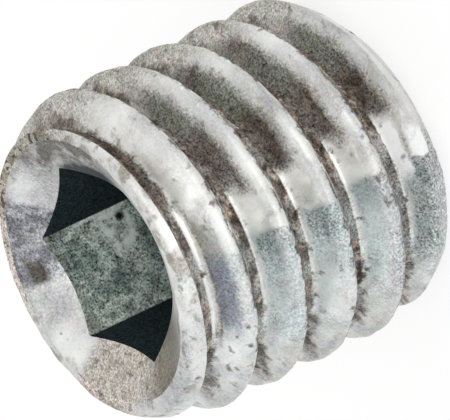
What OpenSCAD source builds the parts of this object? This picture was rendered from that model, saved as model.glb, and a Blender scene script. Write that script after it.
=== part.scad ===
// Grub set screw: a short steel rod with a coarse right-hand thread from end to end,
// a hexagon socket for a key in one end and a flat point on the other. One solid piece.
// Frame: thread axis along +Z, origin at the middle of the flat point, socket mouth up.

/* [Thread] */
// Diameter over the thread crests
crest_d = 3.94; // [3.8:0.02:4]
// Distance from one turn to the next
pitch = 0.7; // [0.6:0.05:0.75]
// Depth from crest to root, measured along the radius
thread_depth = 0.38; // [0.3:0.01:0.42]
// Angle of each flank from the plane square to the axis
flank_angle = 30; // [27.5:0.5:30]
// Radius of the rounds on both sides of the root
root_round = 0.09; // [0.06:0.01:0.1]
// Width of the flat between the two rounds of the root, along the axis
root_flat = 0.07; // [0.05:0.01:0.09]
// Width of the 45 degree break on both edges of the crest, along the axis
crest_break = 0.05; // [0.02:0.01:0.06]
// Turn of the thread about the axis
thread_phase = 76; // [0:1:359]

/* [Length] */
// Length from the flat point to the socket face
screw_length = 3.71; // [3:0.1:6]

/* [Socket end] */
// Diameter of the flat socket face
socket_face_d = 3.46; // [3.3:0.02:3.6]
// Height of the tapered lead on the socket end
socket_lead = 0.55; // [0.2:0.05:0.6]
// Diameter that the socket face keeps where the thread runs out through it
runout_d = 3.36; // [3.2:0.02:3.44]
// Height over which the thread grows shallow towards the socket face
runout_h = 0.4; // [0.3:0.05:0.6]
// Width of the key socket across its flats
key_width = 2.08; // [1.9:0.01:2.1]
// Turn of the socket about the axis
key_turn = 0; // [0:1:59]
// Depth of the straight part of the socket below the socket face
key_depth = 2; // [1.2:0.1:2.2]
// Diameter of the countersink where it meets the socket face
mouth_d = 3.1; // [2.6:0.02:3.2]
// Angle of the countersink, side to side
mouth_angle = 120; // [90:5:120]
// Angle of the drilled cone at the bottom of the socket, side to side
drill_angle = 120; // [110:5:140]

/* [Point end] */
// Diameter of the flat point
point_d = 3.4; // [2.4:0.05:3.5]
// Height of the chamfer around the point
point_lead = 0.45; // [0.2:0.05:0.7]

/* [Hidden] */

crest_r = crest_d / 2;
root_r = crest_r - thread_depth;
key_corner_r = key_width / 2 / cos(30);
mouth_slope = tan(mouth_angle / 2);

// The groove's cutter stands this far outside the crests.
over = 0.02;
// Steps of the groove around one turn, and the turns it makes in all.
turn_steps = 48;
groove_turns = ceil(screw_length / pitch) + 2;

// Half of one groove's section, from the end of the root's flat to its outer edge, as
// [radius, height above the groove's middle]: rounded root, flank, crest break.
root_arc = [for (turn = [0 : 30 : 90 - flank_angle])
    [root_r + root_round * (1 - cos(turn)), root_flat / 2 + root_round * sin(turn)]];
root_end = root_arc[len(root_arc) - 1];
break_r = crest_r - crest_break;
break_z = root_end[1] + (break_r - root_end[0]) * tan(flank_angle);
half_groove = concat(root_arc, [
    [break_r, break_z],
    [crest_r + over, break_z + crest_break + over]
]);
// The whole section, from its lower outer edge round the root to its upper outer edge.
groove = concat(
    [for (i = [len(half_groove) - 1 : -1 : 0]) [half_groove[i][0], -half_groove[i][1]]],
    half_groove
);

// A point of the groove's section, moved along the right-hand helix by a number of steps.
function on_helix(spot, step) = [
    spot[0] * cos(360 * step / turn_steps),
    spot[0] * sin(360 * step / turn_steps),
    spot[1] + pitch * step / turn_steps
];

// The space between the turns, a little longer than the screw at both ends.
module thread_groove() {
    sides = len(groove);
    rings = groove_turns * turn_steps;
    spots = [for (step = [0 : rings]) for (spot = groove) on_helix(spot, step)];
    skin = [for (step = [0 : rings - 1]) for (i = [0 : sides - 1])
        let (low = step * sides, high = low + sides, next = (i + 1) % sides)
        each [[low + i, high + i, low + next], [low + next, high + i, high + next]]];
    first_end = [for (i = [0 : sides - 1]) i];
    last_end = [for (i = [sides - 1 : -1 : 0]) rings * sides + i];
    rotate([0, 0, thread_phase])
        translate([0, 0, -pitch])
            polyhedron(concat(spots), concat(skin, [first_end, last_end]));
}

// The rod with its tapered ends, before the thread is cut.
module blank() {
    rotate_extrude($fn = 96)
        polygon([
            [0, 0],
            [point_d / 2, 0],
            [crest_r, point_lead],
            [crest_r, screw_length - socket_lead],
            [socket_face_d / 2, screw_length],
            [0, screw_length]
        ]);
}

// The hexagon socket with its countersunk mouth and drilled bottom.
module key_socket() {
    mouth_h = (mouth_d / 2) / mouth_slope;
    drill_h = (key_width / 2) / tan(drill_angle / 2);
    rotate([0, 0, key_turn])
        translate([0, 0, screw_length - key_depth])
            cylinder(h = key_depth + over, r = key_corner_r, $fn = 6);
    translate([0, 0, screw_length - key_depth - drill_h])
        cylinder(h = drill_h, r1 = 0, r2 = key_width / 2, $fn = 64);
    translate([0, 0, screw_length - mouth_h])
        cylinder(h = mouth_h + over, r1 = 0, r2 = mouth_d / 2 + over * mouth_slope, $fn = 96);
}

// The cone that the groove leaves standing where the thread runs out at the socket face.
module runout_core() {
    translate([0, 0, screw_length - runout_h])
        cylinder(h = runout_h, r1 = root_r - over, r2 = runout_d / 2);
}

module threaded_rod() {
    difference() {
        blank();
        thread_groove();
    }
    runout_core();
}

module set_screw() {
    color("silver")
        difference() {
            threaded_rod();
            key_socket();
        }
}

set_screw();
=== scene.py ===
import math

import bpy
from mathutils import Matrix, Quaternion, Vector


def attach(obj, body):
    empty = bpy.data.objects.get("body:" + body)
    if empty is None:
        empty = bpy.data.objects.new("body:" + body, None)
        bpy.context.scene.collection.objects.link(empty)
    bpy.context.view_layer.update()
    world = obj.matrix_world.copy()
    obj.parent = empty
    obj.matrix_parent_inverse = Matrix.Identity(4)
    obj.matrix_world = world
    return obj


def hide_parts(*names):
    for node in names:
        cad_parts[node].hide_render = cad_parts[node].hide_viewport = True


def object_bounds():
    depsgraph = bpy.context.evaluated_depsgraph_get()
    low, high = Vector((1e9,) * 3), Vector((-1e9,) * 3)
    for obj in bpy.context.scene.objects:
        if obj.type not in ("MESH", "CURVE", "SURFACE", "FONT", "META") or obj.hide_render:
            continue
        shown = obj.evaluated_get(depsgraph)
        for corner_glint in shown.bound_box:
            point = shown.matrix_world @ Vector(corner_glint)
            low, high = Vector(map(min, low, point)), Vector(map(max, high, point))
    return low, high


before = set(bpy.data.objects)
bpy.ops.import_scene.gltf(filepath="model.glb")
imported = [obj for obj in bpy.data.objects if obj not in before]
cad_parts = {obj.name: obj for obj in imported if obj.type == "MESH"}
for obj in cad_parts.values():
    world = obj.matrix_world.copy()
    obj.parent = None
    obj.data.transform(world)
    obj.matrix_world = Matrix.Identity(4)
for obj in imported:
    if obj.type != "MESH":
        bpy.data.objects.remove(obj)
cad_low, cad_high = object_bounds()

# ---------------------------------------------------------------- sizes, in metres
MM = 0.001
CREST_R = cad_high.x
LENGTH = cad_high.z

PITCH = 0.7 * MM
THREAD_DEPTH = 0.38 * MM
THREAD_PHASE = math.radians(76)
FLANK = math.radians(30)
CREST_W = 0.09 * MM
ROOT_W = 0.19 * MM

SOCKET_FACE_R = 1.73 * MM
SOCKET_LEAD = 0.55 * MM
RUNOUT_R = 1.68 * MM
RUNOUT_H = 0.4 * MM
KEY_WIDTH = 2.08 * MM
KEY_CORNER_R = KEY_WIDTH / 2 / math.cos(math.radians(30))
KEY_DEPTH = 2.0 * MM
MOUTH_R = 1.55 * MM
MOUTH_SLOPE = math.radians(60)
DRILL_SLOPE = math.radians(60)
DRILL_R = 1.02 * MM

POINT_R = 1.7 * MM
POINT_LEAD = 0.45 * MM

RIM_ROUND = 0.05 * MM
MOUTH_ROUND = 0.04 * MM
POINT_ROUND = 0.06 * MM
KEY_ROUND = 0.03 * MM
CREST_ROUND = 0.045 * MM
ROOT_ROUND = 0.09 * MM

# How far a cutting tool stands past what it cuts, and how near two points are when they are one.
OVER = 0.05 * MM
MERGE = 0.0002 * MM
THREAD_STEPS = 128
SPARE_TURNS = 3
BLANK_STEPS = 192
SMOOTH_UNDER = math.radians(40)

SPLITS = 4
FINEST_EDGE = 0.09 * MM
DENT_SIZE = 0.16 * MM
DENT_DEPTH = 0.016 * MM
SAG_SIZE = 0.5 * MM
SAG_DEPTH = 0.02 * MM

# The side of the screw that is turned to the camera, as an angle about its axis.
FRONT = math.radians(28.2)
CAMERA_UP = math.radians(30.536)
CAMERA_ROLL = math.radians(115.26)
CAMERA_FAR = 131.33 * MM
CAMERA_LENS = 951.46
CAMERA_RIGHT = 1.467 * MM
CAMERA_RISE = 0.683 * MM

PAPER_GLOW = 0.78
STUDIO_LIGHT = 0.88


# ---------------------------------------------------------------- modelling helpers
def deselect_all():
    if bpy.context.object and bpy.context.object.mode != "OBJECT":
        bpy.ops.object.mode_set(mode="OBJECT")
    bpy.ops.object.select_all(action="DESELECT")


def pick(piece):
    """Makes one object the only selected and active one."""
    deselect_all()
    piece.select_set(True)
    bpy.context.view_layer.objects.active = piece


def name_active(name):
    piece = bpy.context.object
    piece.name = name
    piece.data.name = name
    return piece


def select_verts(piece, wanted):
    """Selects the vertices for which wanted(place) is true, with edit mode left on."""
    pick(piece)
    bpy.ops.object.mode_set(mode="EDIT")
    bpy.ops.mesh.select_mode(type="VERT")
    bpy.ops.mesh.select_all(action="DESELECT")
    bpy.ops.object.mode_set(mode="OBJECT")
    for vertex in piece.data.vertices:
        vertex.select = wanted(vertex.co)
    bpy.ops.object.mode_set(mode="EDIT")


def apply_modifier(piece, kind, **settings):
    pick(piece)
    modifier = piece.modifiers.new(kind.title(), kind)
    for setting, value in settings.items():
        setattr(modifier, setting, value)
    bpy.ops.object.modifier_apply(modifier=modifier.name)


def cut(piece, tool, operation):
    """Booleans one closed piece with another and takes the tool away."""
    apply_modifier(piece, "BOOLEAN", operation=operation, solver="EXACT", object=tool)
    bpy.data.objects.remove(tool)


# ---------------------------------------------------------------- the screw
def tooth_outline():
    """One tooth of the thread, drawn as a chain from the middle of one root to the next."""
    root_r = CREST_R - THREAD_DEPTH
    flank_h = THREAD_DEPTH * math.tan(FLANK)
    steps = [
        (0, ROOT_W / 2),
        (THREAD_DEPTH, flank_h),
        (0, CREST_W),
        (-THREAD_DEPTH, flank_h),
        (0, PITCH - ROOT_W / 2 - 2 * flank_h - CREST_W),
    ]
    start_z = -PITCH * (THREAD_PHASE / math.tau + 1)
    bpy.ops.mesh.primitive_plane_add(size=PITCH, location=(root_r, 0, start_z))
    tooth = name_active("set_screw_body")
    bpy.ops.object.transform_apply(location=True)
    bpy.ops.object.mode_set(mode="EDIT")
    bpy.ops.mesh.select_all(action="SELECT")
    bpy.ops.mesh.merge(type="CENTER")
    for out, along in steps:
        bpy.ops.mesh.extrude_vertices_move(
            TRANSFORM_OT_translate={"value": (out, 0, along)}
        )
    bpy.ops.object.mode_set(mode="OBJECT")
    for corner_r, width, segments in ((CREST_R, CREST_ROUND, 3), (root_r, ROOT_ROUND, 4)):
        heights = [vertex.co.z for vertex in tooth.data.vertices]
        low, high = min(heights) + MERGE, max(heights) - MERGE
        select_verts(tooth, lambda co: abs(co.x - corner_r) < MERGE and low < co.z < high)
        bpy.ops.mesh.bevel(offset=width, offset_type="OFFSET", segments=segments, affect="VERTICES")
        bpy.ops.object.mode_set(mode="OBJECT")
    return tooth


def threaded_rod():
    """The tooth swept along the helix and cut off square just past both ends."""
    rod = tooth_outline()
    turns = math.ceil(LENGTH / PITCH) + SPARE_TURNS
    apply_modifier(
        rod,
        "SCREW",
        axis="Z",
        angle=math.tau,
        screw_offset=PITCH,
        iterations=turns,
        steps=THREAD_STEPS,
        render_steps=THREAD_STEPS,
    )
    pick(rod)
    bpy.ops.object.mode_set(mode="EDIT")
    bpy.ops.mesh.select_all(action="SELECT")
    bpy.ops.mesh.remove_doubles(threshold=MERGE)
    for height, inward in ((-OVER, 1), (LENGTH + OVER, -1)):
        bpy.ops.mesh.select_all(action="SELECT")
        bpy.ops.mesh.bisect(
            plane_co=(0, 0, height),
            plane_no=(0, 0, inward),
            use_fill=True,
            clear_inner=True,
            threshold=MERGE / 10,
        )
    bpy.ops.mesh.select_all(action="SELECT")
    bpy.ops.mesh.normals_make_consistent(inside=False)
    bpy.ops.object.mode_set(mode="OBJECT")
    return rod


def turned_blank():
    """The rod as it is before threading: a cylinder with a tapered socket end and a chamfered point."""
    bpy.ops.mesh.primitive_cylinder_add(
        vertices=BLANK_STEPS, radius=CREST_R + OVER, depth=LENGTH, location=(0, 0, LENGTH / 2)
    )
    blank = name_active("blank")
    bpy.ops.object.transform_apply(location=True)
    socket_lead = SOCKET_LEAD * (CREST_R + OVER - SOCKET_FACE_R) / (CREST_R - SOCKET_FACE_R)
    point_lead = POINT_LEAD * (CREST_R + OVER - POINT_R) / (CREST_R - POINT_R)
    bpy.ops.object.mode_set(mode="EDIT")
    for height in (point_lead, LENGTH - socket_lead):
        bpy.ops.mesh.select_all(action="SELECT")
        bpy.ops.mesh.bisect(plane_co=(0, 0, height), plane_no=(0, 0, 1), threshold=MERGE / 10)
    for height, radius, width in ((0, POINT_R, POINT_ROUND), (LENGTH, SOCKET_FACE_R, RIM_ROUND)):
        select_verts(blank, lambda co: abs(co.z - height) < MERGE)
        share = radius / (CREST_R + OVER)
        bpy.ops.transform.resize(value=(share, share, 1))
        bpy.ops.mesh.bevel(offset=width, offset_type="OFFSET", segments=4, affect="EDGES")
    bpy.ops.object.mode_set(mode="OBJECT")
    return blank


def runout_core():
    """The cone that stays standing where the thread grows shallow towards the socket face."""
    base_r = CREST_R - THREAD_DEPTH - OVER
    height = RUNOUT_H + OVER
    bpy.ops.mesh.primitive_cone_add(
        vertices=BLANK_STEPS,
        radius1=base_r,
        radius2=base_r + (RUNOUT_R - base_r) * height / RUNOUT_H,
        depth=height,
        location=(0, 0, LENGTH - RUNOUT_H + height / 2),
    )
    return name_active("runout")


def key_socket():
    """The broached hexagon, its countersunk mouth and its drilled bottom, as cutting tools."""
    bpy.ops.mesh.primitive_cylinder_add(
        vertices=6,
        radius=KEY_CORNER_R,
        depth=KEY_DEPTH + OVER,
        location=(0, 0, LENGTH + OVER / 2 - KEY_DEPTH / 2),
        rotation=(0, 0, math.radians(30)),
    )
    hexagon = name_active("hexagon")
    bpy.ops.object.mode_set(mode="EDIT")
    bpy.ops.mesh.select_mode(type="EDGE")
    bpy.ops.mesh.select_all(action="DESELECT")
    bpy.ops.object.mode_set(mode="OBJECT")
    points = hexagon.data.vertices
    for edge in hexagon.data.edges:
        first, last_highlight = (points[i].co for i in edge.vertices)
        edge.select = abs(first.z - last_highlight.z) > KEY_DEPTH / 2
    bpy.ops.object.mode_set(mode="EDIT")
    bpy.ops.mesh.bevel(offset=KEY_ROUND, offset_type="OFFSET", segments=3, affect="EDGES")
    bpy.ops.object.mode_set(mode="OBJECT")

    mouth_h = MOUTH_R / math.tan(MOUTH_SLOPE) + OVER
    bpy.ops.mesh.primitive_cone_add(
        vertices=BLANK_STEPS,
        radius1=0,
        radius2=mouth_h * math.tan(MOUTH_SLOPE),
        depth=mouth_h,
        location=(0, 0, LENGTH + OVER - mouth_h / 2),
    )
    mouth = name_active("mouth")

    drill_h = DRILL_R / math.tan(DRILL_SLOPE)
    bpy.ops.mesh.primitive_cone_add(
        vertices=BLANK_STEPS,
        radius1=0,
        radius2=DRILL_R + OVER * math.tan(DRILL_SLOPE),
        depth=drill_h + OVER,
        location=(0, 0, LENGTH - KEY_DEPTH - drill_h + (drill_h + OVER) / 2),
    )
    drill = name_active("drill")
    return hexagon, mouth, drill


def round_mouth(screw):
    """Breaks the edge between the countersink and the socket face."""
    pick(screw)
    bpy.ops.object.mode_set(mode="EDIT")
    bpy.ops.mesh.select_mode(type="EDGE")
    bpy.ops.mesh.select_all(action="DESELECT")
    bpy.ops.object.mode_set(mode="OBJECT")
    points = screw.data.vertices
    for edge in screw.data.edges:
        edge.select = all(
            abs(points[i].co.z - LENGTH) < MERGE
            and abs(math.hypot(points[i].co.x, points[i].co.y) - MOUTH_R) < 10 * MERGE
            for i in edge.vertices
        )
    bpy.ops.object.mode_set(mode="EDIT")
    bpy.ops.mesh.bevel(offset=MOUTH_ROUND, offset_type="OFFSET", segments=3, affect="EDGES")
    bpy.ops.object.mode_set(mode="OBJECT")


def wear(screw):
    """Small dents and slow unevenness outside the socket, from rolling, plating and use."""
    points = screw.data.vertices
    for _ in range(SPLITS):
        pick(screw)
        bpy.ops.object.mode_set(mode="EDIT")
        bpy.ops.mesh.select_mode(type="EDGE")
        bpy.ops.mesh.select_all(action="SELECT")
        bpy.ops.mesh.quads_convert_to_tris()
        bpy.ops.mesh.select_all(action="DESELECT")
        bpy.ops.object.mode_set(mode="OBJECT")
        for edge in screw.data.edges:
            first, last_highlight = (points[i].co for i in edge.vertices)
            outside = min(math.hypot(co.x, co.y) for co in (first, last_highlight)) > MOUTH_R
            edge.select = outside and (first - last_highlight).length > FINEST_EDGE
        bpy.ops.object.mode_set(mode="EDIT")
        bpy.ops.mesh.subdivide(number_cuts=1)
        bpy.ops.object.mode_set(mode="OBJECT")
    used = screw.vertex_groups.new(name="used")
    for vertex in screw.data.vertices:
        out = math.hypot(vertex.co.x, vertex.co.y)
        if out > MOUTH_R - MOUTH_ROUND and vertex.co.z > MERGE:
            used.add([vertex.index], 1.0, "REPLACE")
    for size, depth in ((DENT_SIZE, DENT_DEPTH), (SAG_SIZE, SAG_DEPTH)):
        clouds = bpy.data.textures.new("dents", "CLOUDS")
        clouds.noise_scale = size
        clouds.noise_depth = 1
        apply_modifier(
            screw,
            "DISPLACE",
            texture=clouds,
            texture_coords="LOCAL",
            vertex_group="used",
            strength=depth,
            mid_level=0.5,
        )
        bpy.data.textures.remove(clouds)
    screw.vertex_groups.clear()


def make_screw():
    screw = threaded_rod()
    cut(screw, runout_core(), "UNION")
    cut(screw, turned_blank(), "INTERSECT")
    for tool in key_socket():
        cut(screw, tool, "DIFFERENCE")
    round_mouth(screw)
    pick(screw)
    bpy.ops.object.mode_set(mode="EDIT")
    bpy.ops.mesh.select_all(action="SELECT")
    bpy.ops.mesh.remove_doubles(threshold=MERGE / 2)
    bpy.ops.mesh.normals_make_consistent(inside=False)
    bpy.ops.object.mode_set(mode="OBJECT")
    return screw


# ---------------------------------------------------------------- materials
MATH = "ShaderNodeMath"
RANGE = "ShaderNodeMapRange"
NOISE = "ShaderNodeTexNoise"
MIX = "ShaderNodeMix"
VECTOR = "ShaderNodeVectorMath"
SOFT = {"interpolation_type": "SMOOTHSTEP"}
COLOUR = {"data_type": "RGBA", "out": 2}
# Cloudy noise. Its blotches are about 0.5 / Scale across, so Scale is 0.5 over their size in mm.
CLOUDY = {"noise_dimensions": "4D"}


def linear(colour):
    """An sRGB hex value as a linear RGBA colour."""
    parts = [int(colour[place : place + 2], 16) / 255 for place in (1, 3, 5)]
    return [p / 12.92 if p <= 0.04045 else ((p + 0.055) / 1.055) ** 2.4 for p in parts] + [1]


def add(tree, kind, inputs=None, out=0, **settings):
    """Adds one node with its settings, links or fills its inputs, and returns one of its outputs."""
    node = tree.nodes.new(kind)
    for name, value in settings.items():
        setattr(node, name, value)
    for slot, value in (inputs or {}).items():
        if isinstance(value, bpy.types.NodeSocket):
            tree.links.new(value, node.inputs[slot])
        else:
            node.inputs[slot].default_value = value
    return node.outputs[out] if node.outputs else None


def new_material(name):
    material = bpy.data.materials.new(name)
    material.use_nodes = True
    material.node_tree.nodes.clear()
    return material, material.node_tree


def zone(tree, value, outer_low, low, high, outer_high):
    """1 where the value is between low and high, fading to 0 at the outer limits."""
    rise = add(tree, RANGE, {0: value, 1: outer_low, 2: low}, **SOFT)
    fall = add(tree, RANGE, {0: value, 1: high, 2: outer_high, 3: 1.0, 4: 0.0}, **SOFT)
    return add(tree, MATH, {0: rise, 1: fall}, operation="MULTIPLY")


def screw_places(tree):
    """Place on the screw, in millimetres and degrees: the point itself, its side angle (0 at the
    front, rising clockwise from above) and its height."""
    object_place = add(tree, "ShaderNodeTexCoord", out="Object")
    point = add(tree, VECTOR, {0: object_place, "Scale": 1 / MM}, operation="SCALE")
    towards = (math.cos(FRONT), math.sin(FRONT), 0)
    aside = (math.sin(FRONT), -math.cos(FRONT), 0)
    near = add(tree, VECTOR, {0: point, 1: towards}, out="Value", operation="DOT_PRODUCT")
    across = add(tree, VECTOR, {0: point, 1: aside}, out="Value", operation="DOT_PRODUCT")
    height = add(tree, "ShaderNodeSeparateXYZ", {0: point}, out="Z")
    side = add(tree, MATH, {0: across, 1: near}, operation="ARCTAN2")
    side = add(tree, MATH, {0: side, 1: 180 / math.pi}, operation="MULTIPLY")
    return point, side, height


def fine_grain(tree, point, colour, strength):
    """Grain over a colour, and faint tints that come and go. The grain is finer than this on
    the real plating, and is drawn as coarse as it needs to be to show."""
    tint = add(tree, NOISE, {0: point, "W": 31.0, "Scale": 0.5 / 0.07, "Detail": 1.0}, out=1, **CLOUDY)
    colour = add(tree, MIX, {0: 0.09, 6: colour, 7: tint}, blend_type="OVERLAY", **COLOUR)
    grain = add(tree, NOISE, {0: point, "W": 1.0, "Scale": 0.5 / 0.011, "Detail": 1.0}, **CLOUDY)
    grain = add(tree, RANGE, {0: grain, 1: 0.28, 2: 0.72, 3: 0.03, 4: 0.97})
    return add(tree, MIX, {0: strength, 6: colour, 7: grain}, blend_type="OVERLAY", **COLOUR)


def around_back(tree, side):
    """The side angle counted from the side away from the camera, so that nothing breaks there."""
    back = add(tree, MATH, {0: side, 1: 360.0}, operation="FLOORED_MODULO")
    return add(tree, MATH, {0: back, 1: 180.0}, operation="SUBTRACT")


def zinc_plating():
    """Bright zinc plating on steel, worn by use: duller silver on the crests, brighter in the thread,
    with painted highlights and glints, blue-grey painted reflections, brown grime partly painted as
    shade, dark specks and grain."""
    material, tree = new_material("worn_zinc_plating")
    point, side, height = screw_places(tree)
    # place along the thread, in turns: whole in the roots, halfway between them on the crests
    start = (THREAD_PHASE - FRONT) / math.tau
    turn = add(tree, MATH, {0: side, 1: 1 / 360, 2: start}, operation="MULTIPLY_ADD")
    turn = add(tree, MATH, {0: height, 1: MM / PITCH, 2: turn}, operation="MULTIPLY_ADD")
    fleck = add(tree, NOISE, {0: point, "W": 7.0, "Scale": 0.5 / 0.05, "Detail": 2.0}, **CLOUDY)
    mottle = add(tree, NOISE, {0: point, "W": 15.0, "Scale": 0.5 / 0.1, "Detail": 3.0}, **CLOUDY)
    patch = add(tree, NOISE, {0: point, "W": 3.0, "Scale": 0.5 / 0.16, "Detail": 3.0}, **CLOUDY)
    cloud = add(tree, NOISE, {0: point, "W": 11.0, "Scale": 0.5 / 0.45, "Detail": 2.0}, **CLOUDY)
    flattened = add(tree, VECTOR, {0: point, 1: (1.0, 1.0, 3.2)}, operation="MULTIPLY")
    streak = add(tree, NOISE, {0: flattened, "W": 19.0, "Scale": 0.5 / 0.3, "Detail": 2.0}, **CLOUDY)
    wavy_side = add(tree, MATH, {0: patch, 1: 14.0, 2: side}, operation="MULTIPLY_ADD")
    broad_side = add(tree, MATH, {0: cloud, 1: 60.0, 2: wavy_side}, operation="MULTIPLY_ADD")
    broad_side = add(tree, MATH, {0: broad_side, 1: 30.0}, operation="SUBTRACT")
    wavy_turn = add(tree, MATH, {0: fleck, 1: 0.1, 2: turn}, operation="MULTIPLY_ADD")
    wavy_turn = add(tree, MATH, {0: patch, 1: 0.08, 2: wavy_turn}, operation="MULTIPLY_ADD")
    tooth = add(tree, MATH, {0: wavy_turn, 1: 0.09}, operation="SUBTRACT")
    tooth = add(tree, MATH, {0: tooth}, operation="FRACT")

    # silver: worn and dull on the crest, bright on the flank below it
    bright = add(tree, RANGE, {0: cloud, 1: 0.35, 2: 0.65}, **SOFT)
    worn = add(tree, MIX, {0: bright, 6: linear("#DCDCD9"), 7: linear("#EEEFED")}, **COLOUR)
    fresh = add(tree, MIX, {0: bright, 6: linear("#DCDCD8"), 7: linear("#F0F1EF")}, **COLOUR)
    flank = zone(tree, tooth, 0.66, 0.71, 0.92, 0.95)
    colour = add(tree, MIX, {0: flank, 6: worn, 7: fresh}, **COLOUR)
    dull = add(tree, RANGE, {0: patch, 1: 0.48, 2: 0.75, 3: 0.0, 4: 0.45}, **SOFT)
    colour = add(tree, MIX, {0: dull, 6: colour, 7: linear("#B4AFA5")}, **COLOUR)
    rubbed = zone(tree, tooth, 0.46, 0.52, 0.62, 0.68)
    grey = add(tree, RANGE, {0: streak, 1: 0.5, 2: 0.64, 3: 0.0, 4: 0.35}, **SOFT)
    greyest = zone(tree, wavy_side, -42.0, -31.0, -18.0, -6.0)
    grey = add(tree, MATH, {0: greyest, 1: 0.28, 2: grey}, operation="MULTIPLY_ADD")
    grey = add(tree, MATH, {0: grey, 1: rubbed}, operation="MULTIPLY")
    colour = add(tree, MIX, {0: grey, 6: colour, 7: linear("#A2A4A9")}, **COLOUR)

    # painted white highlight on the flank, between the smears and the blue-grey painted reflections
    flank_highlight = zone(tree, wavy_side, -6.0, 4.0, 17.5, 19.5)
    flank_highlight = add(tree, MATH, {0: flank_highlight, 1: flank}, operation="MULTIPLY")
    thinned = add(tree, RANGE, {0: mottle, 1: 0.4, 2: 0.6, 3: 0.2, 4: 0.95}, **SOFT)
    flank_highlight = add(tree, MATH, {0: flank_highlight, 1: thinned}, operation="MULTIPLY")
    below_lead = add(tree, RANGE, {0: turn, 1: 4.4, 2: 4.55, 3: 1.0, 4: 0.0})
    flank_highlight = add(tree, MATH, {0: flank_highlight, 1: below_lead}, operation="MULTIPLY")
    colour = add(tree, MIX, {0: flank_highlight, 6: colour, 7: linear("#F6F6F0")}, **COLOUR)

    # a film of warm dust on one side
    dusty = zone(tree, wavy_side, -150.0, -100.0, -70.0, -42.0)
    dusty = add(tree, MATH, {0: dusty, 1: 0.68}, operation="MULTIPLY")
    colour = add(tree, MIX, {0: dusty, 6: colour, 7: linear("#ABA69B")}, **COLOUR)

    # blue-grey painted reflection on the flank: cloudy, and darker along its upper edge
    blue_reflection = zone(tree, wavy_side, 18.5, 20.5, 52.0, 80.0)
    clearing = add(tree, RANGE, {0: cloud, 1: 0.38, 2: 0.62, 3: 1.0, 4: 0.45}, **SOFT)
    blue_reflection = add(tree, MATH, {0: blue_reflection, 1: clearing}, operation="MULTIPLY")
    lower_down = add(tree, RANGE, {0: turn, 1: 4.3, 2: 4.7, 3: 1.0, 4: 0.35}, **SOFT)
    blue_reflection = add(tree, MATH, {0: blue_reflection, 1: lower_down}, operation="MULTIPLY")
    pale = add(tree, MIX, {0: flank, 6: linear("#E4E3E7"), 7: linear("#E2F0EE")}, **COLOUR)
    mixed = add(tree, MATH, {0: mottle, 1: 0.4, 2: patch}, operation="MULTIPLY_ADD")
    mixed = add(tree, RANGE, {0: mixed, 1: 0.58, 2: 0.82}, **SOFT)
    pale = add(tree, MIX, {0: mixed, 6: linear("#CBD5D5"), 7: pale}, **COLOUR)
    colour = add(tree, MIX, {0: blue_reflection, 6: colour, 7: pale}, **COLOUR)
    dark_reflection_edge = zone(tree, wavy_side, 18.5, 20.5, 25.0, 33.0)
    dark_reflection_edge = add(tree, MATH, {0: dark_reflection_edge, 1: 0.34}, operation="MULTIPLY")
    dark_reflection_edge = add(tree, MATH, {0: dark_reflection_edge, 1: lower_down}, operation="MULTIPLY")
    colour = add(tree, MIX, {0: dark_reflection_edge, 6: colour, 7: linear("#7F8989")}, **COLOUR)

    # the first tooth lies in the shade of the lip, and is greyer and bluer there
    shaded = zone(tree, wavy_turn, 4.7, 4.79, 4.9, 4.97)
    shaded_side = zone(tree, wavy_side, -6.0, 12.0, 44.0, 62.0)
    shaded = add(tree, MATH, {0: shaded, 1: shaded_side}, operation="MULTIPLY")
    shaded = add(tree, MATH, {0: shaded, 1: 0.8}, operation="MULTIPLY")
    bluer = add(tree, RANGE, {0: wavy_side, 1: 18.0, 2: 26.0}, **SOFT)
    bluer = add(tree, MIX, {0: bluer, 6: linear("#9A9A96"), 7: linear("#767A8A")}, **COLOUR)
    colour = add(tree, MIX, {0: shaded, 6: colour, 7: bluer}, **COLOUR)

    # grey clouds further round
    low_side = zone(tree, wavy_side, 55.0, 75.0, 170.0, 179.0)
    greying = add(tree, RANGE, {0: mixed, 3: 0.65, 4: 0.1})
    greying = add(tree, MATH, {0: greying, 1: low_side}, operation="MULTIPLY")
    colour = add(tree, MIX, {0: greying, 6: colour, 7: linear("#B4B6B7")}, **COLOUR)

    # a painted highlight on the flank above the point, and one painted bright bar on the chamfer
    last_highlight = zone(tree, wavy_turn, 0.84, 0.88, 1.0, 1.03)
    last_side = zone(tree, wavy_side, -2.0, 5.0, 24.0, 32.0)
    last_highlight = add(tree, MATH, {0: last_highlight, 1: last_side}, operation="MULTIPLY")
    highlight_bar = zone(tree, height, 0.17, 0.2, 0.38, 0.42)
    bar_side = zone(tree, wavy_side, 5.0, 12.0, 18.5, 20.5)
    highlight_bar = add(tree, MATH, {0: highlight_bar, 1: bar_side}, operation="MULTIPLY")
    last_highlight = add(tree, MATH, {0: last_highlight, 1: highlight_bar}, operation="MAXIMUM")
    last_turn = add(tree, RANGE, {0: turn, 1: 1.0, 2: 1.05, 3: 0.95, 4: 0.0})
    last_highlight = add(tree, MATH, {0: last_highlight, 1: last_turn}, operation="MULTIPLY")
    colour = add(tree, MIX, {0: last_highlight, 6: colour, 7: linear("#FBFCFC")}, **COLOUR)

    # brown grime with painted shade, first a wide smear up the flank on one side: partly dirt, partly
    # painted dark reflection of the neighbouring flank
    smear_side = zone(tree, broad_side, -74.0, -44.0, 0.0, 12.0)
    smear_and_shade = zone(tree, tooth, 0.63, 0.765, 1.0, 1.1)
    smear_and_shade = add(tree, MATH, {0: smear_and_shade, 1: smear_side}, operation="MULTIPLY")
    smear_and_shade = add(tree, MATH, {0: smear_and_shade, 1: below_lead}, operation="MULTIPLY")
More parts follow.
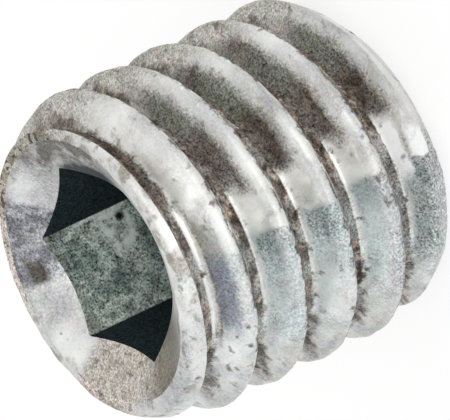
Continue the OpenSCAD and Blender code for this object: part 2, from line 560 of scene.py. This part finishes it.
    # a beaded line in the root all round
    root_place = add(tree, MATH, {0: mottle, 1: 0.16, 2: wavy_turn}, operation="MULTIPLY_ADD")
    root_place = add(tree, MATH, {0: root_place, 1: 0.33}, operation="ADD")
    root_place = add(tree, MATH, {0: root_place}, operation="FRACT")
    root = zone(tree, root_place, 0.36, 0.44, 0.62, 0.7)
    faded = add(tree, RANGE, {0: patch, 1: 0.35, 2: 0.55, 3: 0.55, 4: 1.0}, **SOFT)
    root = add(tree, MATH, {0: root, 1: faded}, operation="MULTIPLY")
    # a thick ring behind the lip
    ring = zone(tree, wavy_turn, 4.94, 5.01, 5.16, 5.26)
    ring_side = zone(tree, broad_side, -84.0, -60.0, -6.0, 8.0)
    ring = add(tree, MATH, {0: ring, 1: ring_side}, operation="MULTIPLY")
    root = add(tree, MATH, {0: root, 1: ring}, operation="MAXIMUM")
    # spots along the edge of the crest
    edge = add(tree, MATH, {0: mottle, 1: 0.22, 2: wavy_turn}, operation="MULTIPLY_ADD")
    edge = add(tree, MATH, {0: edge, 1: 0.2}, operation="SUBTRACT")
    edge = add(tree, MATH, {0: edge}, operation="FRACT")
    edge = zone(tree, edge, 0.3, 0.38, 0.47, 0.53)
    edge_side = zone(tree, broad_side, -112.0, -88.0, 78.0, 100.0)
    edge = add(tree, MATH, {0: edge, 1: edge_side}, operation="MULTIPLY")
    on_crest = zone(tree, turn, 0.9, 1.1, 4.7, 4.9)
    edge = add(tree, MATH, {0: edge, 1: on_crest}, operation="MULTIPLY")
    spotty = add(tree, RANGE, {0: mottle, 1: 0.44, 2: 0.54, 3: 0.0, 4: 0.9}, **SOFT)
    edge = add(tree, MATH, {0: edge, 1: spotty}, operation="MULTIPLY")
    root = add(tree, MATH, {0: root, 1: edge}, operation="MAXIMUM")
    # the line grows wider further round, on both sides
    sheltered = add(tree, MATH, {0: side, 1: -0.0055, 2: tooth}, operation="MULTIPLY_ADD")
    sheltered = add(tree, MATH, {0: mottle, 1: 0.2, 2: sheltered}, operation="MULTIPLY_ADD")
    sheltered = add(tree, RANGE, {0: sheltered, 1: 1.24, 2: 1.33, 3: 0.0, 4: 0.85}, **SOFT)
    sheltered_side = zone(tree, side, -104.0, -92.0, -56.0, -42.0)
    sheltered = add(tree, MATH, {0: sheltered, 1: sheltered_side}, operation="MULTIPLY")
    sheltered = add(tree, MATH, {0: sheltered, 1: faded}, operation="MULTIPLY")
    root = add(tree, MATH, {0: root, 1: sheltered}, operation="MAXIMUM")
    lower = add(tree, MATH, {0: side, 1: 0.0075, 2: tooth}, operation="MULTIPLY_ADD")
    lower = add(tree, MATH, {0: mottle, 1: 0.4, 2: lower}, operation="MULTIPLY_ADD")
    lower = add(tree, RANGE, {0: lower, 1: 1.5, 2: 1.6, 3: 0.0, 4: 0.9}, **SOFT)
    lower_side = zone(tree, side, 42.0, 54.0, 86.0, 98.0)
    lower = add(tree, MATH, {0: lower, 1: lower_side}, operation="MULTIPLY")
    lower = add(tree, MATH, {0: lower, 1: faded}, operation="MULTIPLY")
    root = add(tree, MATH, {0: root, 1: lower}, operation="MAXIMUM")
    # a clean ridge between the lip and the first tooth, with a dark line beside it
    ridge = zone(tree, turn, 4.895, 4.91, 4.95, 4.97)
    ridge_side = zone(tree, side, -14.0, -2.0, 44.0, 60.0)
    ridge = add(tree, MATH, {0: ridge, 1: ridge_side}, operation="MULTIPLY")
    no_ridge = add(tree, MATH, {0: 1.0, 1: ridge}, operation="SUBTRACT")
    root = add(tree, MATH, {0: root, 1: no_ridge}, operation="MULTIPLY")
    beside = zone(tree, wavy_turn, 4.9, 4.93, 4.97, 5.0)
    beside = add(tree, MATH, {0: beside, 1: ridge_side}, operation="MULTIPLY")
    beside = add(tree, MATH, {0: beside, 1: no_ridge}, operation="MULTIPLY")
    beside = add(tree, MATH, {0: beside, 1: 0.7}, operation="MULTIPLY")
    root = add(tree, MATH, {0: root, 1: beside}, operation="MAXIMUM")
    # a painted highlight along the foot of the flank, where the fillet catches the light; the root line
    # is left off there
    place = add(tree, MATH, {0: turn}, operation="FRACT")
    fillet_highlight = zone(tree, place, 0.83, 0.87, 0.92, 0.95)
    fillet_side = zone(tree, wavy_side, -4.0, 4.0, 44.0, 62.0)
    fillet_highlight = add(tree, MATH, {0: fillet_highlight, 1: fillet_side}, operation="MULTIPLY")
    fillet_highlight = add(tree, MATH, {0: fillet_highlight, 1: 0.75}, operation="MULTIPLY")
    colour = add(tree, MIX, {0: fillet_highlight, 6: colour, 7: linear("#F4F5F1")}, **COLOUR)
    highlit = add(tree, MATH, {0: fillet_highlight, 1: last_highlight}, operation="MAXIMUM")
    elsewhere = add(tree, MATH, {0: 1.0, 1: highlit}, operation="SUBTRACT")
    root = add(tree, MATH, {0: root, 1: elsewhere}, operation="MULTIPLY")
    # the last turn is wiped clean of the smear, and both ends of the line
    wiped = add(tree, RANGE, {0: wavy_side, 1: -3.0, 2: 5.0}, **SOFT)
    wiped = add(tree, MATH, {0: wiped, 1: last_turn}, operation="MULTIPLY")
    wiped = add(tree, MATH, {0: 1.0, 1: wiped}, operation="SUBTRACT")
    smear_and_shade = add(tree, MATH, {0: smear_and_shade, 1: wiped}, operation="MULTIPLY")
    threaded = zone(tree, height, 0.1, 0.25, 3.56, 3.64)
    root = add(tree, MATH, {0: root, 1: threaded}, operation="MULTIPLY")
    grime_and_shade = add(tree, MATH, {0: smear_and_shade, 1: root}, operation="MAXIMUM")

    # its colour: caked dirt and painted dark reflection up the flank, a thin film near the root, lumps
    # in the line
    thick = add(tree, RANGE, {0: tooth, 1: 0.84, 2: 1.0, 3: 1.0, 4: 0.0}, **SOFT)
    thick = add(tree, MATH, {0: thick, 1: smear_and_shade}, operation="MULTIPLY")
    brown = add(tree, RANGE, {0: fleck, 1: 0.38, 2: 0.62}, **SOFT)
    bead = add(tree, RANGE, {0: mottle, 1: 0.42, 2: 0.52}, **SOFT)
    bead = add(tree, MATH, {0: bead, 1: ring}, operation="MAXIMUM")
    thin = add(tree, MIX, {0: brown, 6: linear("#7F7164"), 7: linear("#A79A8B")}, **COLOUR)
    lump = add(tree, MIX, {0: brown, 6: linear("#2C2018"), 7: linear("#584638")}, **COLOUR)
    thin = add(tree, MIX, {0: bead, 6: thin, 7: lump}, **COLOUR)
    film = add(tree, MIX, {0: brown, 6: linear("#493E35"), 7: linear("#6F6358")}, **COLOUR)
    no_ring = add(tree, MATH, {0: 1.0, 1: ring}, operation="SUBTRACT")
    filmed = add(tree, MATH, {0: smear_and_shade, 1: no_ring}, operation="MULTIPLY")
    thin = add(tree, MIX, {0: filmed, 6: thin, 7: film}, **COLOUR)
    caked_and_shaded = add(tree, MIX, {0: brown, 6: linear("#2F241C"), 7: linear("#564639")}, **COLOUR)
    green = zone(tree, wavy_side, -60.0, -44.0, -30.0, -20.0)
    caked_and_shaded = add(tree, MIX, {0: green, 6: caked_and_shaded, 7: linear("#5E6053")}, **COLOUR)
    purple = add(tree, RANGE, {0: broad_side, 1: -12.0, 2: 4.0, 3: 0.0, 4: 0.6}, **SOFT)
    caked_and_shaded = add(tree, MIX, {0: purple, 6: caked_and_shaded, 7: linear("#665E5C")}, **COLOUR)
    brown = add(tree, MIX, {0: thick, 6: thin, 7: caked_and_shaded}, **COLOUR)
    cover = add(tree, RANGE, {0: streak, 1: 0.4, 2: 0.6, 3: 0.89, 4: 0.97}, **SOFT)
    cover = add(tree, MATH, {0: cover, 1: grime_and_shade}, operation="MULTIPLY")
    colour = add(tree, MIX, {0: cover, 6: colour, 7: brown}, **COLOUR)

    # the lip: beige with dust where the countersink is, and mottled with olive dirt elsewhere
    back = around_back(tree, side)
    lip = add(tree, RANGE, {0: height, 1: 3.5, 2: 3.62}, **SOFT)
    lip_dust = zone(tree, back, -82.0, -64.0, -44.0, -32.0)
    far_dust = zone(tree, back, -8.0, 6.0, 62.0, 80.0)
    lip_dust = add(tree, MATH, {0: lip_dust, 1: far_dust}, operation="MAXIMUM")
    lip_dust = add(tree, MATH, {0: lip_dust, 1: lip}, operation="MULTIPLY")
    lip_dust = add(tree, MATH, {0: lip_dust, 1: 0.85}, operation="MULTIPLY")
    colour = add(tree, MIX, {0: lip_dust, 6: colour, 7: linear("#BFB5AC")}, **COLOUR)
    olive = add(tree, RANGE, {0: mottle, 1: 0.5, 2: 0.64, 3: 0.0, 4: 0.6}, **SOFT)
    dirtier = zone(tree, wavy_side, -148.0, -130.0, -80.0, -60.0)
    olive = add(tree, MATH, {0: dirtier, 1: 0.35, 2: olive}, operation="MULTIPLY_ADD")
    olive = add(tree, MATH, {0: olive, 1: lip}, operation="MULTIPLY")
    colour = add(tree, MIX, {0: olive, 6: colour, 7: linear("#827D6E")}, **COLOUR)
    spots = add(tree, RANGE, {0: fleck, 1: 0.52, 2: 0.6}, **SOFT)
    spots = add(tree, MATH, {0: spots, 1: dirtier}, operation="MULTIPLY")
    spots = add(tree, MATH, {0: spots, 1: lip}, operation="MULTIPLY")
    colour = add(tree, MIX, {0: spots, 6: colour, 7: linear("#564C41")}, **COLOUR)
    grime_and_shade = add(tree, MATH, {0: grime_and_shade, 1: lip_dust}, operation="MAXIMUM")

    # dark specks, most of them near the roots, and the grain over everything
    speck = add(tree, NOISE, {0: point, "W": 21.0, "Scale": 0.5 / 0.075, "Detail": 3.0}, **CLOUDY)
    speck = add(tree, RANGE, {0: speck, 1: 0.57, 2: 0.7, 3: 0.0, 4: 0.9}, **SOFT)
    near_root = add(tree, RANGE, {0: cloud, 1: 0.45, 2: 0.6, 3: 0.15, 4: 0.8}, **SOFT)
    foot = zone(tree, root_place, 0.25, 0.4, 0.72, 0.85)
    near_root = add(tree, MATH, {0: near_root, 1: foot}, operation="MAXIMUM")
    speck = add(tree, MATH, {0: speck, 1: near_root}, operation="MULTIPLY")
    colour = add(tree, MIX, {0: speck, 6: colour, 7: linear("#463C34")}, **COLOUR)
    # the grain is stronger on grime, painted shade, painted reflections and dust
    grainier = add(tree, MATH, {0: grime_and_shade, 1: blue_reflection}, operation="MAXIMUM")
    grainier = add(tree, MATH, {0: grainier, 1: dusty}, operation="MAXIMUM")
    end_dust = zone(tree, height, -0.1, 0.0, 0.75, 1.15)
    end_side = zone(tree, wavy_side, 0.0, 20.0, 56.0, 76.0)
    end_dust = add(tree, MATH, {0: end_dust, 1: end_side}, operation="MULTIPLY")
    end_dust = add(tree, MATH, {0: end_dust, 1: elsewhere}, operation="MULTIPLY")
    grainier = add(tree, MATH, {0: grainier, 1: end_dust}, operation="MAXIMUM")
    end_dust = add(tree, MATH, {0: end_dust, 1: 0.45}, operation="MULTIPLY")
    colour = add(tree, MIX, {0: end_dust, 6: colour, 7: linear("#9A9B9A")}, **COLOUR)
    strength = add(tree, RANGE, {0: grainier, 3: 0.26, 4: 0.86})
    colour = fine_grain(tree, point, colour, strength)

    # small painted glints on the crests
    glint = add(tree, NOISE, {0: point, "W": 27.0, "Scale": 0.5 / 0.05, "Detail": 1.0}, **CLOUDY)
    glint = add(tree, RANGE, {0: glint, 1: 0.26, 2: 0.2, 3: 0.0, 4: 0.8}, **SOFT)
    on_edge = zone(tree, tooth, 0.36, 0.44, 0.66, 0.74)
    glint = add(tree, MATH, {0: glint, 1: on_edge}, operation="MULTIPLY")
    colour = add(tree, MIX, {0: glint, 6: colour, 7: linear("#FDFDFB")}, **COLOUR)

    # dirt, painted shade and painted highlights hide the metal, rubbing dulls it
    dirt_and_painted_light = add(tree, MATH, {0: grime_and_shade, 1: speck}, operation="MAXIMUM")
    thin_highlight = add(tree, MATH, {0: flank_highlight, 1: 0.4}, operation="MULTIPLY")
    matt_share = add(tree, MATH, {0: dirt_and_painted_light, 1: thin_highlight}, operation="MAXIMUM")
    matt_share = add(tree, MATH, {0: matt_share, 1: glint}, operation="MAXIMUM")
    matt_share = add(tree, MATH, {0: matt_share, 1: last_highlight}, operation="MAXIMUM")
    metal = add(tree, RANGE, {0: matt_share, 3: 1.0, 4: 0.2})
    satin = add(tree, RANGE, {0: patch, 1: 0.3, 2: 0.7, 3: 0.28, 4: 0.42})
    satin = add(tree, MATH, {0: rubbed, 1: 0.26, 2: satin}, operation="MULTIPLY_ADD")
    satin = add(tree, MATH, {0: lip, 1: 0.16, 2: satin}, operation="MULTIPLY_ADD")
    rough = add(tree, MATH, {0: matt_share, 1: 0.3, 2: satin}, operation="MULTIPLY_ADD")
    inputs = {"Strength": 0.4, "Distance": 0.005 * MM, "Height": mottle}
    normal = add(tree, "ShaderNodeBump", inputs)
    sheen = add(tree, RANGE, {0: grime_and_shade, 3: 0.5, 4: 0.12})
    inputs = {"Base Color": colour, "Metallic": metal, "Roughness": rough, "Normal": normal}
    inputs["Specular IOR Level"] = sheen
    surface = add(tree, "ShaderNodeBsdfPrincipled", inputs)
    add(tree, "ShaderNodeOutputMaterial", {"Surface": surface})
    return material


def countersink_zinc():
    """Zinc plating on the countersink: pale silver, with a painted blue-grey reflection where it faces
    the far side and a painted dark reflection at its end, beige dust low down with a darker band, a
    painted white highlight beside the dust, a painted pale sheen at the front, painted dark shade on
    the upper side, olive smudges, specks and a broken line of dirt at the lip."""
    material, tree = new_material("countersink_zinc")
    point, side, _ = screw_places(tree)
    flat = add(tree, VECTOR, {0: point, 1: (1.0, 1.0, 0.0)}, operation="MULTIPLY")
    radius = add(tree, VECTOR, {0: flat}, out="Value", operation="LENGTH")
    fleck = add(tree, NOISE, {0: point, "W": 7.0, "Scale": 0.5 / 0.05, "Detail": 2.0}, **CLOUDY)
    mottle = add(tree, NOISE, {0: point, "W": 15.0, "Scale": 0.5 / 0.1, "Detail": 3.0}, **CLOUDY)
    patch = add(tree, NOISE, {0: point, "W": 3.0, "Scale": 0.5 / 0.2, "Detail": 3.0}, **CLOUDY)
    back = around_back(tree, side)
    back = add(tree, MATH, {0: patch, 1: 14.0, 2: back}, operation="MULTIPLY_ADD")

    pale = add(tree, RANGE, {0: patch, 1: 0.35, 2: 0.65}, **SOFT)
    colour = add(tree, MIX, {0: pale, 6: linear("#B4B5B4"), 7: linear("#DADBDA")}, **COLOUR)
    # a painted blue-grey reflection where the cone faces the far side
    blue_reflection = zone(tree, back, 8.0, 17.0, 53.0, 57.0)
    cloudy = add(tree, RANGE, {0: mottle, 1: 0.4, 2: 0.62}, **SOFT)
    cloudy = add(tree, MIX, {0: cloudy, 6: linear("#7C7F84"), 7: linear("#AFAFB4")}, **COLOUR)
    colour = add(tree, MIX, {0: blue_reflection, 6: colour, 7: cloudy}, **COLOUR)
    dust = zone(tree, back, -118.0, -100.0, -40.0, -26.0)
    speckled = add(tree, RANGE, {0: fleck, 1: 0.4, 2: 0.66}, **SOFT)
    speckled = add(tree, MIX, {0: speckled, 6: linear("#C9C3BB"), 7: linear("#B0A89D")}, **COLOUR)
    colour = add(tree, MIX, {0: dust, 6: colour, 7: speckled}, **COLOUR)
    # darker olive-brown beyond the dust
    darker_band = zone(tree, back, -138.0, -124.0, -94.0, -70.0)
    darker_band = add(tree, MATH, {0: darker_band, 1: 0.85}, operation="MULTIPLY")
    colour = add(tree, MIX, {0: darker_band, 6: colour, 7: linear("#5F5A4C")}, **COLOUR)

    # a painted white highlight beside the dust
    white_highlight = zone(tree, back, -34.0, -28.0, -16.0, -4.0)
    outward = add(tree, RANGE, {0: radius, 1: 1.1, 2: 1.45, 3: 0.2, 4: 0.75}, **SOFT)
    white_highlight = add(tree, MATH, {0: white_highlight, 1: outward}, operation="MULTIPLY")
    colour = add(tree, MIX, {0: white_highlight, 6: colour, 7: linear("#F6F6F4")}, **COLOUR)

    # a painted dark reflection at the end of the blue-grey one, and olive smudges along the upper lip
    stain_and_reflection = zone(tree, back, 10.0, 15.0, 22.0, 28.0)
    middle = zone(tree, radius, 1.18, 1.28, 1.42, 1.52)
    stain_and_reflection = add(tree, MATH, {0: stain_and_reflection, 1: middle}, operation="MULTIPLY")
    smudge = zone(tree, back, 70.0, 88.0, 140.0, 160.0)
    outer = add(tree, RANGE, {0: radius, 1: 1.12, 2: 1.36}, **SOFT)
    smudge = add(tree, MATH, {0: smudge, 1: outer}, operation="MULTIPLY")
    smudge = add(tree, MATH, {0: smudge, 1: 0.9}, operation="MULTIPLY")
    stain_and_reflection = add(tree, MATH, {0: stain_and_reflection, 1: smudge}, operation="MAXIMUM")
    holes = add(tree, RANGE, {0: mottle, 1: 0.36, 2: 0.56, 3: 0.3, 4: 1.0}, **SOFT)
    stain_and_reflection = add(tree, MATH, {0: stain_and_reflection, 1: holes}, operation="MULTIPLY")
    colour = add(tree, MIX, {0: stain_and_reflection, 6: colour, 7: linear("#54514B")}, **COLOUR)

    # painted dark shade on the upper side, next to the socket
    edge = add(tree, MATH, {0: fleck, 1: 0.16, 2: radius}, operation="MULTIPLY_ADD")
    upper_shade = add(tree, RANGE, {0: edge, 1: 1.24, 2: 1.38, 3: 0.94, 4: 0.0}, **SOFT)
    shade_side = zone(tree, back, 90.0, 102.0, 144.0, 160.0)
    upper_shade = add(tree, MATH, {0: upper_shade, 1: shade_side}, operation="MULTIPLY")
    colour = add(tree, MIX, {0: upper_shade, 6: colour, 7: linear("#22292A")}, **COLOUR)

    # a broken dirty line at the lip, specks, and the grain over everything
    rim = zone(tree, edge, 1.54, 1.6, 1.66, 1.7)
    gaps = add(tree, RANGE, {0: patch, 1: 0.52, 2: 0.62, 3: 0.0, 4: 0.5}, **SOFT)
    rim = add(tree, MATH, {0: rim, 1: gaps}, operation="MULTIPLY")
    speck = add(tree, NOISE, {0: point, "W": 21.0, "Scale": 0.5 / 0.06, "Detail": 2.0}, **CLOUDY)
    speck = add(tree, RANGE, {0: speck, 1: 0.62, 2: 0.72, 3: 0.0, 4: 0.7}, **SOFT)
    dirt_and_painted_light = add(tree, MATH, {0: rim, 1: speck}, operation="MAXIMUM")
    colour = add(tree, MIX, {0: dirt_and_painted_light, 6: colour, 7: linear("#5B5148")}, **COLOUR)
    # the grain is stronger on the painted reflections, the stains and the dust
    grainier = add(tree, MATH, {0: blue_reflection, 1: stain_and_reflection}, operation="MAXIMUM")
    grainier = add(tree, MATH, {0: grainier, 1: dust}, operation="MAXIMUM")
    strength = add(tree, RANGE, {0: grainier, 3: 0.3, 4: 0.66})
    colour = fine_grain(tree, point, colour, strength)

    # dirt, painted shade, painted reflections and the painted sheen are matt, not metal
    dirt_and_painted_light = add(tree, MATH, {0: dirt_and_painted_light, 1: stain_and_reflection}, operation="MAXIMUM")
    dirt_and_painted_light = add(tree, MATH, {0: dirt_and_painted_light, 1: upper_shade}, operation="MAXIMUM")
    dirt_and_painted_light = add(tree, MATH, {0: dirt_and_painted_light, 1: darker_band}, operation="MAXIMUM")
    sheen = add(tree, RANGE, {0: dirt_and_painted_light, 3: 0.5, 4: 0.05})
    # the front, seen at a grazing angle, has a painted pale sheen and is matt
    grazing_sheen = zone(tree, side, -52.0, -30.0, 30.0, 58.0)
    grazing_sheen = add(tree, MATH, {0: grazing_sheen, 1: 0.6}, operation="MULTIPLY")
    colour = add(tree, MIX, {0: grazing_sheen, 6: colour, 7: linear("#E4E4E0")}, **COLOUR)
    dirt_and_painted_light = add(tree, MATH, {0: dirt_and_painted_light, 1: grazing_sheen}, operation="MAXIMUM")
    metal = add(tree, RANGE, {0: dirt_and_painted_light, 3: 0.95, 4: 0.0})
    rough = add(tree, RANGE, {0: patch, 1: 0.3, 2: 0.7, 3: 0.26, 4: 0.42})
    inputs = {"Strength": 0.35, "Distance": 0.004 * MM, "Height": mottle}
    normal = add(tree, "ShaderNodeBump", inputs)
    inputs = {"Base Color": colour, "Metallic": metal, "Roughness": rough, "Normal": normal}
    inputs["Specular IOR Level"] = sheen
    surface = add(tree, "ShaderNodeBsdfPrincipled", inputs)
    add(tree, "ShaderNodeOutputMaterial", {"Surface": surface})
    return material


def oily_socket():
    """Blackened, oily steel inside the socket: the plating is thin there and dirt stays in, so the
    walls look green-black, partly also as painted shade;
    the far wall, which faces the front, is painted lit in olive and grey-green, with a painted pale
    highlight and a painted bright corner line."""
    material, tree = new_material("oily_socket_steel")
    point, side, height = screw_places(tree)
    fleck = add(tree, NOISE, {0: point, "W": 5.0, "Scale": 0.5 / 0.06, "Detail": 3.0}, **CLOUDY)
    patch = add(tree, NOISE, {0: point, "W": 9.0, "Scale": 0.5 / 0.2, "Detail": 3.0}, **CLOUDY)
    back = around_back(tree, side)
    wavy_height = add(tree, MATH, {0: patch, 1: 0.5, 2: height}, operation="MULTIPLY_ADD")
    wavy_back = add(tree, MATH, {0: patch, 1: 14.0, 2: back}, operation="MULTIPLY_ADD")

    # painted light on the far wall, which faces the front: olive and grey-green, with a painted pale
    # highlight in one place
    lit_wall = zone(tree, back, -33.0, -31.6, 28.0, 29.0)
    above_drill = add(tree, RANGE, {0: height, 1: 1.73, 2: 1.78})
    lit_wall = add(tree, MATH, {0: lit_wall, 1: above_drill}, operation="MULTIPLY")
    olive = add(tree, RANGE, {0: patch, 1: 0.36, 2: 0.6}, **SOFT)
    lit_colour = add(tree, MIX, {0: olive, 6: linear("#82928C"), 7: linear("#C3D0C6")}, **COLOUR)
    mark = add(tree, RANGE, {0: fleck, 1: 0.42, 2: 0.66, 3: 0.0, 4: 0.75}, **SOFT)
    lit_colour = add(tree, MIX, {0: mark, 6: lit_colour, 7: linear("#536260")}, **COLOUR)
    pale = zone(tree, wavy_back, 6.0, 15.0, 33.0, 37.0)
    pale_height = zone(tree, wavy_height, 2.5, 2.66, 2.98, 3.12)
    pale = add(tree, MATH, {0: pale, 1: pale_height}, operation="MULTIPLY")
    broken = add(tree, RANGE, {0: fleck, 1: 0.4, 2: 0.62, 3: 1.0, 4: 0.3}, **SOFT)
    pale = add(tree, MATH, {0: pale, 1: broken}, operation="MULTIPLY")
    lit_colour = add(tree, MIX, {0: pale, 6: lit_colour, 7: linear("#F2FFF6")}, **COLOUR)
    # a painted highlight along one corner of the hexagon
    corner_glint = zone(tree, back, 25.6, 27.2, 29.4, 31.2)
    corner_height = zone(tree, height, 2.3, 2.4, 2.9, 3.2)
    corner_glint = add(tree, MATH, {0: corner_glint, 1: corner_height}, operation="MULTIPLY")
    lit_colour = add(tree, MIX, {0: corner_glint, 6: lit_colour, 7: linear("#DDE8E2")}, **COLOUR)
    mouth = add(tree, RANGE, {0: wavy_height, 1: 3.48, 2: 3.66, 3: 0.0, 4: 0.55}, **SOFT)
    lit_colour = add(tree, MIX, {0: mouth, 6: lit_colour, 7: linear("#80857A")}, **COLOUR)
    pit_angle = FRONT + math.radians(157.5)
    pit_place = (1.14 * math.cos(pit_angle), 1.14 * math.sin(pit_angle), 2.48)
    pit = add(tree, VECTOR, {0: point, 1: pit_place}, out="Value", operation="DISTANCE")
    pit = add(tree, MATH, {0: fleck, 1: 0.12, 2: pit}, operation="MULTIPLY_ADD")
    pit = add(tree, RANGE, {0: pit, 1: 0.08, 2: 0.15, 3: 1.0, 4: 0.0}, **SOFT)
    lit_colour = add(tree, MIX, {0: pit, 6: lit_colour, 7: linear("#14191A")}, **COLOUR)

    # the other walls are green-black, partly oily dirt and partly painted shade
    colour = add(tree, MIX, {0: lit_wall, 6: linear("#232E31"), 7: lit_colour}, **COLOUR)
    colour = fine_grain(tree, point, colour, 1.0)
    inputs = {"Base Color": colour, "Metallic": 0.0, "Roughness": 0.8, "Specular IOR Level": 0.1}
    surface = add(tree, "ShaderNodeBsdfPrincipled", inputs)
    add(tree, "ShaderNodeOutputMaterial", {"Surface": surface})
    return material


def studio_paper():
    """Matt white studio paper, lit from behind as well, so that it stays white up to the screw
    and keeps a light shadow."""
    material, tree = new_material("white_studio_paper")
    paper = add(tree, "ShaderNodeBsdfDiffuse", {"Color": linear("#FBFBFA")})
    glow = add(tree, "ShaderNodeEmission", {"Color": linear("#FFFFFF"), "Strength": 1.0})
    seen = add(tree, "ShaderNodeLightPath", out="Is Camera Ray")
    mirrored = add(tree, "ShaderNodeLightPath", out="Is Glossy Ray")
    through = add(tree, "ShaderNodeLightPath", out="Is Transmission Ray")
    seen = add(tree, MATH, {0: seen, 1: mirrored}, operation="MAXIMUM")
    seen = add(tree, MATH, {0: seen, 1: through}, operation="MAXIMUM")
    share = add(tree, MATH, {0: seen, 1: PAPER_GLOW}, operation="MULTIPLY")
    surface = add(tree, "ShaderNodeMixShader", {0: share, 1: paper, 2: glow})
    add(tree, "ShaderNodeOutputMaterial", {"Surface": surface})
    return material


def paint(screw):
    """Plating outside, a second plating material on the countersink, oily steel inside the socket."""
    plating, countersink, socket = range(3)
    screw.data.materials.clear()
    for material in (zinc_plating(), countersink_zinc(), oily_socket()):
        screw.data.materials.append(material)
    points = screw.data.vertices
    for face in screw.data.polygons:
        corners = [points[i].co for i in face.vertices]
        reach = max(math.hypot(co.x, co.y) for co in corners)
        lowest = min(co.z for co in corners)
        upright = abs(face.normal.z) < 0.3
        bottom = face.center.z < LENGTH - KEY_DEPTH + OVER
        if reach < KEY_CORNER_R + MERGE and lowest > OVER and (upright or bottom):
            face.material_index = socket
        elif reach < MOUTH_R + MOUTH_ROUND / 2 and lowest > LENGTH - MM:
            face.material_index = countersink
        else:
            face.material_index = plating


# ---------------------------------------------------------------- the piece
body = make_screw()
paint(body)
wear(body)
bpy.ops.object.shade_smooth_by_angle(angle=SMOOTH_UNDER)
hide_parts("set_screw")
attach(body, "root")


# ---------------------------------------------------------------- camera
def make_camera():
    """A long lens on a slanting line of sight; its roll lays the upright screw over to the left."""
    back = Vector(
        (
            math.cos(FRONT) * math.cos(CAMERA_UP),
            math.sin(FRONT) * math.cos(CAMERA_UP),
            math.sin(CAMERA_UP),
        )
    )
    turn = (-back).to_track_quat("-Z", "Y") @ Quaternion((0, 0, 1), -CAMERA_ROLL)
    right = turn @ Vector((1, 0, 0))
    rise = turn @ Vector((0, 1, 0))
    camera = bpy.data.objects.new("camera", bpy.data.cameras.new("camera"))
    bpy.context.scene.collection.objects.link(camera)
    camera.rotation_mode = "QUATERNION"
    camera.rotation_quaternion = turn
    aim = Vector((0, 0, LENGTH)) + right * CAMERA_RIGHT + rise * CAMERA_RISE
    camera.location = aim + back * CAMERA_FAR
    camera.data.sensor_width = 36
    camera.data.lens = CAMERA_LENS
    camera.data.clip_start = 0.001
    camera.data.clip_end = 10
    bpy.context.scene.camera = camera


make_camera()


# ---------------------------------------------------------------- studio
def make_floor():
    bpy.ops.mesh.primitive_plane_add(size=2.0, location=(0, 0, 0))
    floor = name_active("studio_floor")
    floor.data.materials.append(studio_paper())


def make_lamp(name, side, rise, far, size, watts, colour="#FFFFFF"):
    """A soft box that looks at the screw, from a side angle and an angle above the floor."""
    lamp = bpy.data.objects.new(name, bpy.data.lights.new(name, "AREA"))
    bpy.context.scene.collection.objects.link(lamp)
    around = FRONT - math.radians(side)
    height = math.radians(rise)
    away = Vector(
        (math.cos(around) * math.cos(height), math.sin(around) * math.cos(height), math.sin(height))
    )
    lamp.location = Vector((0, 0, LENGTH / 2)) + away * far
    lamp.rotation_euler = away.to_track_quat("Z", "Y").to_euler()
    lamp.data.shape = "RECTANGLE"
    lamp.data.size, lamp.data.size_y = size
    lamp.data.energy = watts
    lamp.data.color = linear(colour)[:3]
    lamp.visible_camera = False
    return lamp


def make_world():
    world = bpy.data.worlds.new("studio")
    bpy.context.scene.world = world
    world.use_nodes = True
    background = world.node_tree.nodes["Background"].inputs
    background["Color"].default_value = linear("#FFFFFF")
    background["Strength"].default_value = STUDIO_LIGHT


make_floor()
make_world()
make_lamp("overhead_strip", 6, 70, 60 * MM, (17 * MM, 52 * MM), 0.0038)
make_lamp("front_strip", 4, 33, 70 * MM, (26 * MM, 50 * MM), 0.0098)
make_lamp("left_soft_box", -60, 50, 70 * MM, (80 * MM, 60 * MM), 0.0025)
make_lamp("right_soft_box", 110, 35, 70 * MM, (70 * MM, 60 * MM), 0.003, "#F4FAFF")
bpy.context.scene.view_settings.view_transform = "Standard"
